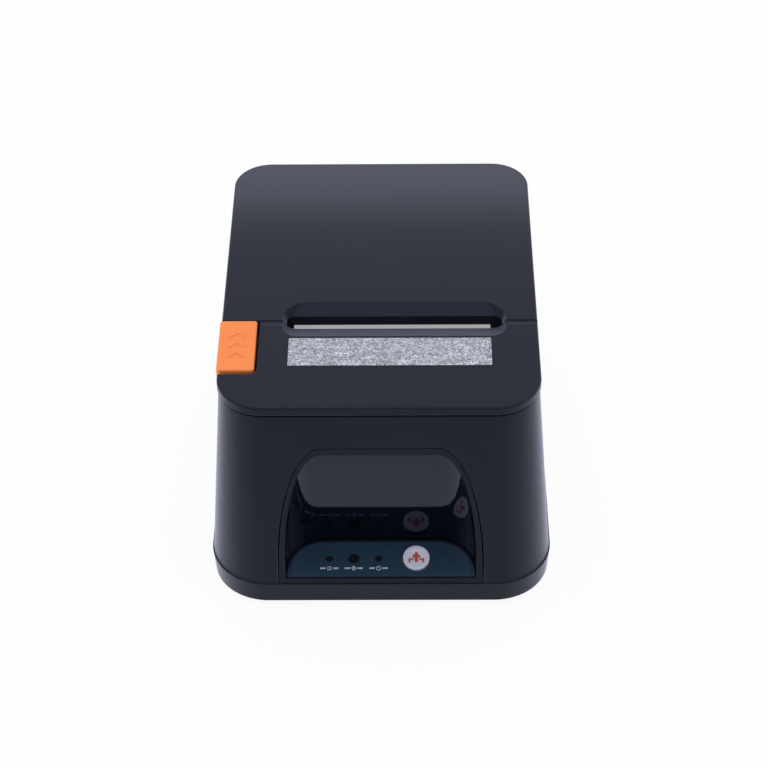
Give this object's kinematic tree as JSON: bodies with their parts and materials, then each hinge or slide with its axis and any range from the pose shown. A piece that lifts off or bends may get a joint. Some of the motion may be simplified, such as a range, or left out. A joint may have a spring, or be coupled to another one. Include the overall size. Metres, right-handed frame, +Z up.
{
  "type": "receipt printer",
  "caption": "Desktop thermal receipt printer: flared dark housing, rear-hinged paper lid, paper slot with tear bar, release button, scooped front with sloping control ledge.",
  "frame": {"origin": "on the floor under the middle of the base's footprint", "axes": "+X to the right seen from the front, +Y to the rear, +Z up; the front face looks along -Y"},
  "size_m": [0.153, 0.183, 0.116],
  "materials": {
    "shell_charcoal": "fine matt texture",
    "bezel_charcoal": "satin",
    "window_black": "polished",
    "overlay_film": "printed film",
    "lamp_smoke": "smoked clear",
    "key_orange": "satin",
    "feed_white": "satin",
    "rocker_black": "gloss",
    "foot_rubber": "matt",
    "platen_rubber": "ground",
    "screw_zinc": "zinc",
    "sheet_steel": "galvanised",
    "spring_steel": "rolled",
    "pin_steel": "ground",
    "blade_steel": "ground",
    "tear_steel": "brushed",
    "motor_steel": "plated",
    "sink_alloy": "extruded",
    "head_ceramic": "glazed line",
    "gear_nylon": "moulded",
    "bush_acetal": "moulded",
    "frame_black": "moulded",
    "sensor_black": "moulded",
    "board_green": "solder mask",
    "socket_black": "moulded",
    "socket_steel": "tinned"
  },
  "bodies": {
    "housing": {"base_pan": "shell_charcoal", "base_screws": "screw_zinc", "rubber_feet": "foot_rubber", "body_shell": "shell_charcoal", "front_cover": "shell_charcoal", "front_bezel": "bezel_charcoal", "scoop_window": "window_black", "control_overlay": "overlay_film", "indicator_lenses": "lamp_smoke", "tear_bar": "tear_steel", "mech_frame": "sheet_steel", "head_pin": "pin_steel", "head_spring": "spring_steel", "idler_pin": "pin_steel", "feed_motor": "motor_steel", "cutter_motor": "motor_steel", "cutter_guide": "frame_black", "button_spring": "spring_steel", "paper_hopper": "frame_black", "paper_sensor": "sensor_black", "main_board": "board_green", "panel_board": "board_green", "connector_plate": "sheet_steel", "dc_inlet": "socket_black", "usb_socket": "socket_steel", "lan_socket": "socket_steel", "drawer_socket": "socket_black", "switch_body": "rocker_black"},
    "lid": {"paper_lid": "shell_charcoal", "lid_liner": "frame_black", "fixed_blade": "blade_steel", "hinge_pins": "pin_steel", "platen_bushes": "bush_acetal"},
    "platen": {"platen_shaft": "pin_steel", "platen_rubber": "platen_rubber", "platen_gear": "gear_nylon"},
    "idler": {"idler_gear": "gear_nylon"},
    "feed_rotor": {"feed_pinion": "gear_nylon"},
    "head": {"print_head": "head_ceramic", "head_sink": "sink_alloy"},
    "blade": {"moving_blade": "blade_steel", "blade_racks": "gear_nylon"},
    "cutter_spindle": {"cutter_shaft": "pin_steel", "cutter_pinions": "gear_nylon", "cutter_gear": "gear_nylon"},
    "cutter_rotor": {"cutter_drive": "gear_nylon"},
    "release_key": {"release_button": "key_orange"},
    "latch": {"latch_hooks": "sheet_steel", "latch_shaft": "pin_steel"},
    "feed_key": {"feed_button": "feed_white"},
    "rocker": {"power_rocker": "rocker_black"}
  },
  "joints": [
    {"name": "lid_hinge", "type": "hinge", "parent": "housing", "child": "lid", "pos_m": [0, 0.0843, 0.11], "axis": [-1, 0, 0], "range_deg": [0, 100]},
    {"name": "platen_spin", "type": "hinge", "parent": "lid", "child": "platen", "pos_m": [0, -0.0175, 0.088], "axis": [1, 0, 0], "continuous": true},
    {"name": "idler_spin", "type": "hinge", "parent": "housing", "child": "idler", "pos_m": [0, -0.01495, 0.07621], "axis": [1, 0, 0], "continuous": true},
    {"name": "feed_motor_spin", "type": "hinge", "parent": "housing", "child": "feed_rotor", "pos_m": [0, -0.02386, 0.06482], "axis": [1, 0, 0], "continuous": true},
    {"name": "head_pivot", "type": "hinge", "parent": "housing", "child": "head", "pos_m": [0, -0.02716, 0.07785], "axis": [1, 0, 0], "range_deg": [0, 3], "stiffness_Nm_per_rad": 2, "springref_deg": -2.86, "deforming": ["head_spring"]},
    {"name": "blade_slide", "type": "slide", "parent": "housing", "child": "blade", "axis": [0, 1, 0], "range_m": [0, 0.013]},
    {"name": "cutter_spindle_turn", "type": "hinge", "parent": "housing", "child": "cutter_spindle", "pos_m": [0, -0.044, 0.097], "axis": [1, 0, 0], "range_deg": [-215, 5]},
    {"name": "cutter_motor_turn", "type": "hinge", "parent": "housing", "child": "cutter_rotor", "pos_m": [0, -0.05098, 0.08868], "axis": [1, 0, 0], "range_deg": [-10, 430]},
    {"name": "release_press", "type": "slide", "parent": "housing", "child": "release_key", "axis": [0, 0, -1], "range_m": [0, 0.003], "stiffness_N_per_m": 700, "springref_m": -0.003, "deforming": ["button_spring"]},
    {"name": "latch_turn", "type": "hinge", "parent": "housing", "child": "latch", "pos_m": [0, -0.034, 0.08], "axis": [1, 0, 0], "range_deg": [0, 11.5]},
    {"name": "feed_press", "type": "slide", "parent": "housing", "child": "feed_key", "axis": [0, 0.2888, -0.9574], "range_m": [0, 0.0006], "stiffness_N_per_m": 800, "springref_m": -0.0015},
    {"name": "rocker_tip", "type": "hinge", "parent": "housing", "child": "rocker", "pos_m": [-0.028, 0.0842, 0.024], "axis": [1, 0, 0], "range_deg": [0, 20]}
  ],
  "couplings": [
    {"joint": "idler_spin", "follows": "platen_spin", "ratio": -1.5},
    {"joint": "feed_motor_spin", "follows": "platen_spin", "ratio": 4.5},
    {"joint": "cutter_spindle_turn", "follows": "blade_slide", "rad_per_m": -277.78},
    {"joint": "cutter_motor_turn", "follows": "blade_slide", "rad_per_m": 555.56},
    {"joint": "latch_turn", "follows": "release_press", "rad_per_m": 62.5}
  ]
}
